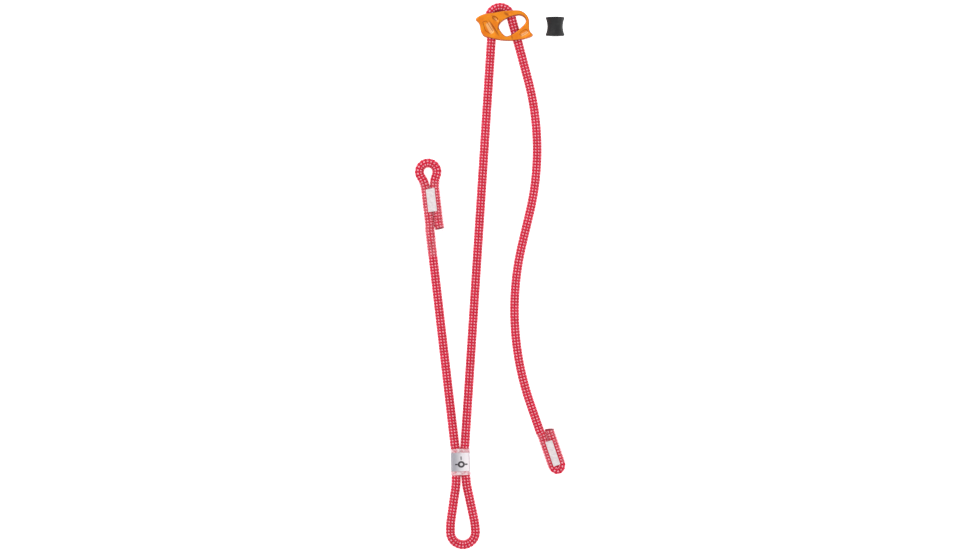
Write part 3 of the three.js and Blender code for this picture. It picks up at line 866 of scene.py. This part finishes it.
def add_draped_label(pair, look, slant, seed):
    """A flat label laid on the crowns of the two strands, with a cut that isn't quite square."""
    thickness, overhang = 0.22, 0.6
    low, high = pair.reach("label") / np.array(MM)
    x, t = np.meshgrid(np.linspace(low[0], high[0], 25), np.linspace(0, 1, 61))
    y = low[1] + (high[1] - low[1]) * t + slant * x * np.where(t > 0.5, 1, 0.35) * np.abs(2 * t - 1)
    y = np.clip(y, low[1] - overhang, high[1] + overhang)
    sag = 0.35 * np.exp(-(x / 2.2) ** 2)
    wave = 0.05 * np.sin(1.3 * y + seed) * np.cos(0.7 * x + seed)
    top = high[2] - LABEL_CLEARANCE - sag + wave
    layers = [np.stack([x, y, top - drop], axis=-1).reshape(-1, 3) for drop in (0.0, thickness)]
    points = np.concatenate(layers) * MM
    faces = grid_faces(*x.shape, wrap_columns=False)
    border = border_loop(*x.shape)
    rim = [(a, a + x.size, b + x.size, b) for a, b in zip(border, np.roll(border, -1))]
    faces = np.concatenate([faces, faces[:, ::-1] + x.size, rim])
    tidy(pair.add("label", "printed_label", points, faces, look, "label", mapped=True))


def border_loop(rows, columns):
    """The indices around the edge of a grid of points, in order."""
    index = np.arange(rows * columns).reshape(rows, columns)
    return np.concatenate([index[0, :-1], index[:-1, -1], index[-1, :0:-1], index[:0:-1, 0]])


def thread(path, radius, sides=8):
    """Points and faces of a closed round thread along a path of points."""
    forward = np.gradient(path, axis=0)
    forward /= np.linalg.norm(forward, axis=1)[:, None]
    side = np.cross(forward, [0.0, 1.0, 0.0])
    side /= np.linalg.norm(side, axis=1)[:, None]
    up = np.cross(side, forward)
    radii = np.full((len(path), sides), radius)
    radii[[0, -1]] *= 0.5
    return rings_of_points(path, side, up, radii), rod_faces(len(path), sides)


STITCH_REACH = 3.7  # mm from the groove to where a stitch goes in
STITCH_LEAN = 0.32  # of the pitch


def stitch_height(reach):
    """How high a stitch runs, by its distance from the groove: across it, over the strands, then in."""
    strand_radius, lowest, clearance, entry_depth = 5.3, 3.5, 0.05, 1.3
    surface = np.sqrt(np.clip(strand_radius**2 - (strand_radius - reach) ** 2, 0, None))
    drawn = np.maximum(surface, lowest) + clearance
    return drawn - entry_depth * smoothstep(reach, 3.0, STITCH_REACH)


def add_stitching(pair, look, pitch):
    """Rows of thread drawn from strand to strand, above and below."""
    low, high = pair.reach("stitching") / np.array(MM)
    across = np.linspace(-STITCH_REACH, STITCH_REACH, 15)
    height = stitch_height(np.abs(across))
    points, faces = [], []
    count = int((high[1] - low[1]) / pitch)
    for i in range(count + 1):
        start = low[1] + (high[1] - low[1]) * i / count
        for side in (1, -1):
            along = start + side * pitch * STITCH_LEAN * across / STITCH_REACH
            new_points, new_faces = thread(np.stack([across, along, side * height], axis=1), radius=0.3)
            faces.extend([[v + len(points) for v in face] for face in new_faces])
            points.extend(new_points)
    flatten_ends(pair.add("stitching", "sewing_thread", np.array(points) * MM, faces, look, "thread"))


def sleeve_material():
    """Clear film with a faint milky haze and bright rims, partly the film seen edgewise and partly painted
    reflection.
    """
    s = Shader("clear_film")
    haze = s.noise(s.position((0.16, 0.09, 0.16)), 2.2)
    milk = s.fade(haze, 0.35, 0.7, 0.01, 0.04)
    return film_look(s, haze, milk, 0.34, srgb(250, 204, 216), srgb(255, 232, 238))


def block_sleeve_material():
    """Clear film that has turned milky where it shrank in past both ends of the label."""
    s = Shader("milky_film")
    _, along = s.uv("label")
    haze = s.noise(s.position((0.25, 0.25, 0.25)), 1.2)
    end = s.fade(s.math("ABSOLUTE", along), 0.66, 0.76)
    milk = s.times(end, s.fade(haze, 0.35, 0.65, 0.2, 0.6))
    return film_look(s, haze, milk, 0.16, srgb(255, 220, 228), srgb(255, 242, 245))


def film_look(s, haze, milk, rim, thin, thick):
    """Ends a film's material. It looks more opaque by rim where it turns away from the eye, partly because
    the film is seen edgewise and partly as a painted reflection.
    """
    facing = s.node("LayerWeight", {"Blend": 0.3})[1]
    # partly painted reflection: the pale film colour shows more where the film turns away from the eye
    alpha = s.math("ADD", milk, s.times(facing, rim))
    color = s.mix(s.fade(haze, 0.3, 0.7), thin, thick)
    return s.finish(color, s.fade(haze, 0.3, 0.7, 0.2, 0.35), haze, 0.05, Alpha=alpha)


def label_material():
    """Off-white printed film with a ring over two bars, greyer to the left and with a dark right edge, both
    painted shade where the band curves down.
    """
    s = Shader("printed_band")
    x, y = s.uv("label")
    paper = s.noise(s.position(), 1.6, detail=3.0)
    # painted shade: the band greys towards the left, where it curves down
    color = s.mix(s.fade(x, -0.8, 0.6), srgb(158, 157, 167), srgb(240, 235, 239))
    color = s.mix(s.fade(paper, 0.3, 0.7, 0.0, 0.12), color, srgb(250, 248, 248))
    middle, below = s.gap(x, 0.08), s.gap(y, -0.26)
    reach = s.math("SQRT", s.math("ADD", s.math("POWER", middle, 2.0), s.math("POWER", below, 2.0)))
    ring = s.fade(s.gap(reach, 0.26), 0.12, 0.08)
    wings = s.times(s.fade(s.gap(middle, 0.5), 0.15, 0.11), s.fade(below, 0.1, 0.06))
    bar = s.times(s.fade(middle, 0.07, 0.04), s.fade(s.gap(y, 0.42), 0.2, 0.16))
    ink = s.math("MAXIMUM", s.math("MAXIMUM", ring, wings), bar)
    color = s.mix(s.times(ink, 0.95), color, srgb(30, 18, 30))
    # painted shade: a thin dark line where the band turns down along its right side
    edge = s.times(s.fade(s.gap(x, 0.9), 0.06, 0.03), 0.55)
    color = s.mix(edge, color, srgb(120, 112, 124))
    return s.finish(color, 0.42, paper, 0.05)


def plain_label_material():
    """Blank off-white film, faintly creased."""
    s = Shader("plain_label")
    crease = s.noise(s.position((0.35, 1.0, 1.0)), 0.8, detail=3.0)
    color = s.mix(s.fade(crease, 0.3, 0.7), srgb(222, 216, 217), srgb(240, 238, 237))
    return s.finish(color, 0.5, crease, 0.03)


def thread_material():
    s = Shader("sewing_thread")
    wave = {"Vector": s.position(), "Scale": 3.2, "Distortion": 1.5}
    twist = s.node("TexWave", wave, bands_direction="DIAGONAL")[1]
    color = s.mix(twist, srgb(226, 70, 96), srgb(255, 160, 176))
    return s.finish(color, 0.6, twist, 0.08, Sheen_Weight=0.2)


def build_sewn_pairs():
    clear, milky = sleeve_material(), block_sleeve_material()
    printed, plain, sewing = label_material(), plain_label_material(), thread_material()
    cut_end = (EYE.place.inverted() @ Vector(rope.frames(0.0)[0][0])).y / MM
    add_stitching(BLOCK, sewing, pitch=2.3)
    add_wrapped_label(BLOCK, printed)
    add_sleeve(BLOCK, milky, seed=1.0)
    add_stitching(EYE, sewing, pitch=2.4)
    add_draped_label(EYE, plain, slant=0.12, seed=1.0)
    add_sleeve(EYE, clear, cut_end=cut_end, looseness=0.7, seed=4.0)
    add_stitching(STOPPER, sewing, pitch=2.4)
    add_draped_label(STOPPER, plain, slant=-0.06, seed=3.0)
    add_sleeve(STOPPER, clear, seed=7.0)


# ---- the rope grab

def baked(obj):
    """Replaces an object's mesh with the result of its modifiers."""
    bpy.context.view_layer.update()
    mesh = bpy.data.meshes.new_from_object(obj.evaluated_get(bpy.context.evaluated_depsgraph_get()))
    obj.modifiers.clear()
    obj.data = mesh


def hollow(x, y, centre, angle, long, wide, edge, squareness=2):
    """1 in the middle of a long hollow, falling smoothly to 0 outside it. Squareness 2 is an ellipse."""
    turn = math.radians(angle)
    along = (x - centre[0]) * math.cos(turn) + (y - centre[1]) * math.sin(turn)
    across = -(x - centre[0]) * math.sin(turn) + (y - centre[1]) * math.cos(turn)
    reach = (np.abs(along / long) ** squareness + np.abs(across / wide) ** squareness) ** (1 / squareness)
    return 1 - smoothstep(reach, 1 - 0.5 * edge, 1 + 0.5 * edge)


# The shapes on each cheek: strength, centre in millimetres from the post, angle in degrees, half length, half
# width, softness of the edge and, where it isn't an ellipse, squareness. A hollow's strength is its depth.
HOLLOWS = (
    (0.55, (-14.6, -10.2), -58, 11.0, 5.6, 0.9),
    (0.5, (-5.4, -1.6), -42, 4.6, 2.3, 0.8),
    (0.45, (7.4, 5.2), -12, 3.8, 1.7, 1.0),
    (0.45, (28.8, -19.4), 31, 6.6, 2.4, 0.9),
    (0.6, (-7.0, -13.2), -56, 10.0, 1.0, 1.2),
)
# A pale marked panel, then painted highlights in the dimple and in the right-hand pocket. Strength is how
# pale.
PALE_PANEL_AND_HIGHLIGHTS = (
    (0.9, (-12.0, -12.0), -64, 6.6, 2.7, 0.35, 6),
    (0.7, (-5.0, -2.0), -42, 2.8, 1.0, 0.9),
    (0.9, (28.4, -18.6), 30, 4.6, 1.7, 0.5, 4),
)
# Painted shade: the creases and dents on each cheek, darkened where shade falls in them. Strength is how
# dark.
SHADED_CREASES = (
    (0.9, (-6.6, -12.8), -57, 10.5, 0.8, 1.0),
    (0.8, (7.4, 4.4), -35, 3.2, 1.5, 1.0),
    (0.7, (-7.6, 0.6), -42, 2.8, 0.9, 1.0),
    (0.6, (13.8, -22.6), -75, 3.0, 0.9, 1.2),
    (1.0, (-1.6, -8.6), 78, 6.4, 0.9, 0.8),
)


def summed(shapes, x, y):
    """How strongly a set of shapes shows at places in millimetres from the post."""
    return sum(strength * hollow(x, y, *shape) for strength, *shape in shapes)


def trimmed_outline(x, y):
    """Draws the frame in a little over the post, under its hole and at its connector end."""
    over_post = smoothstep(y, 1, 9) * smoothstep(x, -24, -6) * (1 - smoothstep(x, 6, 26))
    under_hole = smoothstep(-y, 20, 27)
    return x - 1.6 * smoothstep(x, 8, 32), y - 1.7 * over_post + 0.7 * under_hole


def softened_frame():
    """The grab's CAD frame as a fine, even mesh with its edges rounded."""
    grab = add_object("grab_body", frame["nodes"]["grab_frame"].data.copy())
    grab.data.materials.clear()
    remesh = grab.modifiers.new("remesh", "REMESH")
    remesh.mode = "VOXEL"
    remesh.voxel_size = 0.34 * MM
    soften = grab.modifiers.new("soften", "SMOOTH")
    soften.iterations = 5
    baked(grab)
    return grab


def build_grab():
    grab = softened_frame()
    mesh = grab.data
    low, high = (np.array(corner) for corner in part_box("grab_frame"))
    middle = (low[2] + high[2]) / 2
    post = np.array(JOINTS["grab_tilt"]["pos_m"])
    co = rows_of(mesh.vertices, "co", 3)
    facing = np.abs(rows_of(mesh.vertex_normals, "vector", 3)[:, 2])
    x, y = (co[:, :2] - post[:2]).T / MM
    x, y = trimmed_outline(x, y)
    co[:, :2] = post[:2] + np.stack([x, y], axis=1) * MM
    height = np.abs(co[:, 2] - middle) / (high[2] - middle)
    cheek = smoothstep(height, 0.72, 0.86) * smoothstep(facing, 0.3, 0.8)
    co[:, 2] -= np.sign(co[:, 2] - middle) * summed(HOLLOWS, x, y) * MM * cheek
    mesh.vertices.foreach_set("co", co.ravel())
    # painted shade: the side and inner walls between the cheeks, and the creases and dents listed above
    inner = np.maximum(1 - smoothstep(height, 0.55, 0.9), summed(SHADED_CREASES, x, y) * cheek)
    # pale holds a marked panel and painted highlights; inner holds painted shade
    for name, values in (("pale", summed(PALE_PANEL_AND_HIGHLIGHTS, x, y) * cheek), ("inner", inner)):
        store(mesh, name, "FLOAT", "POINT", values.astype(np.float32))
    mesh.shade_smooth()
    set_in_place(grab, anodised_material(), "grab_frame", "grab")


def anodised_material():
    """Satin orange anodised aluminium, blasted fine, paler at a marked panel, with painted highlights in two
    hollows and on its convex edges, and painted shade in its concave corners, on its slopes, on its inner
    walls and in its creases.
    """
    s = Shader("orange_anodised")
    grain = s.noise(s.position(), 3.4, detail=4.0, roughness=0.65)
    cloud = s.noise(s.position((0.09, 0.09, 0.09)), 1.0)
    scratch = s.noise(s.position((0.5, 6.0, 0.5)), 0.9)
    pale = s.node("Attribute", {}, attribute_name="pale")[2]
    inner = s.node("Attribute", {}, attribute_name="inner")[2]
    geometry = s.node("NewGeometry", {})
    edge = geometry["Pointiness"]
    slope = s.math("ABSOLUTE", s.node("SeparateXYZ", {0: geometry["Normal"]})[2])
    color = s.mix(s.fade(cloud, 0.3, 0.7), srgb(240, 126, 10), srgb(248, 148, 20))
    # a pale marked panel, and painted highlights in the dimple and the right-hand pocket
    color = s.mix(s.times(pale, 0.8), color, srgb(255, 196, 132))
    # painted highlight: convex edges are paler
    color = s.mix(s.fade(edge, 0.54, 0.62, 0.0, 0.3), color, srgb(255, 186, 96))
    # painted shade: concave corners are darker
    color = s.mix(s.fade(edge, 0.47, 0.42, 0.0, 0.5), color, srgb(168, 74, 10))
    # painted shade: faces that slope away from straight up are darker, which draws a dark outline along the
    # bevels
    color = s.mix(s.fade(slope, 0.985, 0.75, 0.0, 0.85), color, srgb(166, 74, 6))
    # painted shade: the inner walls and the creases are darker
    color = s.mix(s.times(inner, 0.7), color, srgb(132, 48, 4))
    rough = s.math("ADD", s.fade(grain, 0.3, 0.7, 0.3, 0.42), s.fade(scratch, 0.62, 0.7, 0.0, -0.08))
    return s.finish(color, rough, grain, 0.03, Metallic=0.55)


# ---- the rubber keeper

def rubber_material():
    s = Shader("black_rubber")
    grain = s.noise(s.position(), 2.6, detail=4.0, roughness=0.7)
    dust = s.noise(s.position((0.3, 0.3, 0.3)), 0.8)
    color = s.mix(s.fade(dust, 0.45, 0.75), srgb(12, 12, 14), srgb(28, 28, 31))
    return s.finish(color, s.fade(dust, 0.3, 0.7, 0.55, 0.75), grain, 0.08)


SEAM_HEIGHT = 0.12 * MM
SEAM_REACH = 0.35  # mm


def keeper_outline(half, lip, bore):
    """The keeper's section from one end to the other and back through its bore, in millimetres."""
    waist = lip * 0.826
    outside = ((bore + 0.5, -half), (lip - 1.0, -half), (lip - 0.25, -half + 0.3), (lip, -half + 1.0),
               (lip - 0.05, -half + 1.9), (lip - 0.55, -half + 3.0), (lip - 1.05, -half + 4.6),
               (lip - 1.5, -half + 6.8), (waist, -half + 9.4))
    mirrored = np.array(outside)[::-1] * [1, -1]
    inside = [(bore, y) for y in (half - 0.5, half / 2, 0.0, -half / 2, -half + 0.5)]
    return np.concatenate([rounded(outside, 4), rounded(mirrored, 4), inside])


def build_keeper():
    """A moulded sleeve on its side: a swollen lip at each end, a hollow waist and a parting line."""
    low, high = (np.array(corner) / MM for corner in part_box("keeper"))
    half, lip = (high[1] - low[1]) / 2, (high[0] - low[0]) / 2
    bore = lip * 0.55
    place = Matrix.Translation(Vector((low + high) / 2 * MM))
    keeper = revolve("keeper_sleeve", keeper_outline(half, lip, bore) * MM, 120, place, outline_closed=True)
    centre = np.array(place.translation)
    for vertex in keeper.data.vertices:
        x, y, z = np.array(vertex.co) - centre
        reach = math.hypot(x, z)
        if reach > (bore + 0.6) * MM:
            seam = math.exp(-((abs(z) / MM) / SEAM_REACH) ** 2)
            grow = 1 + SEAM_HEIGHT * seam / reach
            vertex.co = centre + np.array((x * grow, y, z))
    tidy(keeper)
    set_in_place(keeper, rubber_material(), "keeper", "keeper")


# ---- the studio

FLOOR_SIZE = 6  # this and the next four are in lengths of the lanyard
CAMERA_DISTANCE = 7
VIEW_WIDTH = 1.793
CAMERA_LEFT, CAMERA_UP = 0.0029, 0.0018
FLOOR_GAP = 0.2 * MM  # keeps the floor from touching the rope
WORLD_STRENGTH = 0.75


def build_studio():
    low, high = np.array(cad_low), np.array(cad_high)
    middle, length = (low + high) / 2, high[1] - low[1]
    size = FLOOR_SIZE * length
    corners = [(-size, -size, 0), (size, -size, 0), (size, size, 0), (-size, size, 0)]
    drop = np.array([middle[0], middle[1], low[2] - FLOOR_GAP])
    floor = add_mesh("floor", np.array(corners) + drop, [(0, 1, 2, 3)])
    floor.data.materials.append(floor_material())
    add_world()
    add_light("key", middle + np.array([-1.08, 1.08, 1.56]), middle, size=1.0, power=14)
    add_light("fill", middle + np.array([1.32, -0.48, 1.44]), middle, size=1.4, power=6)
    add_camera(middle, length)
    bpy.context.scene.view_settings.view_transform = "Standard"


def add_world():
    world = bpy.data.worlds.new("soft_white")
    world.use_nodes = True
    background = world.node_tree.nodes["Background"]
    background.inputs["Color"].default_value = (1, 1, 1, 1)
    background.inputs["Strength"].default_value = WORLD_STRENGTH
    bpy.context.scene.world = world


def add_camera(middle, length):
    """A camera far above the lanyard, looking straight down."""
    camera = add_object("camera", bpy.data.cameras.new("camera"))
    distance = CAMERA_DISTANCE * length
    camera.data.sensor_width = 36
    camera.data.lens = camera.data.sensor_width * distance / (VIEW_WIDTH * length)
    camera.data.clip_end = 50
    camera.location = (middle[0] - CAMERA_LEFT * length, middle[1] + CAMERA_UP * length, distance)
    bpy.context.scene.camera = camera


def add_light(name, place, target, size, power):
    data = bpy.data.lights.new(name, "AREA")
    data.shape, data.size, data.energy = "DISK", size, power
    light = add_object(name, data)
    light.location = place
    light.rotation_euler = Vector(target - place).to_track_quat("-Z", "Y").to_euler()


def floor_material():
    s = Shader("pale_floor")
    mottle = s.noise(s.position((0.01, 0.01, 0.01)), 1.0)
    color = s.mix(mottle, srgb(246, 246, 246), srgb(250, 250, 250))
    return s.finish(color, 0.9, mottle, 0.01, Emission_Color=(1, 1, 1, 1), Emission_Strength=0.9)


build_rope()
build_melted_ends()
build_sewn_pairs()
build_grab()
build_keeper()
build_studio()
